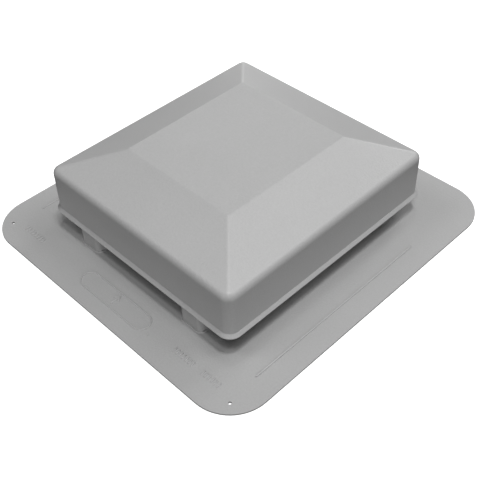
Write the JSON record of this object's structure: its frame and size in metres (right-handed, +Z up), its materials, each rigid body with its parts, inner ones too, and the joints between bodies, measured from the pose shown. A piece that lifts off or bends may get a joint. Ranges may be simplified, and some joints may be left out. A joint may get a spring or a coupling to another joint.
{
  "type": "roof vent",
  "caption": "Square-top moulded roof vent: wide nailing flange with collared throat, louvre panels, insect screens, rain baffle and a lift-off hood.",
  "frame": {"origin": "centre of the flange's underside, on the roof deck", "axes": "+Z up out of the roof, -Y down the slope towards the edge with the mould marks, +X to the right seen from down-slope"},
  "size_m": [0.42, 0.44, 0.1106],
  "materials": {
    "vent_plastic": "fine-grained grey moulded polypropylene",
    "louvre_plastic": "black moulded polypropylene",
    "screen_mesh": "woven wire insect screen",
    "screw_steel": "zinc-plated pan head"
  },
  "bodies": {
    "base": {"base_flange": "vent_plastic", "louvre_front": "louvre_plastic", "louvre_rear": "louvre_plastic", "louvre_left": "louvre_plastic", "louvre_right": "louvre_plastic", "screen_front": "screen_mesh", "screen_rear": "screen_mesh", "screen_left": "screen_mesh", "screen_right": "screen_mesh"},
    "hood": {"hood_cover": "vent_plastic", "rain_baffle": "louvre_plastic", "baffle_screws": "screw_steel"}
  },
  "joints": [
    {"name": "hood_lift", "type": "slide", "parent": "base", "child": "hood", "axis": [0, 0, 1], "range_m": [0, 0.1]}
  ]
}
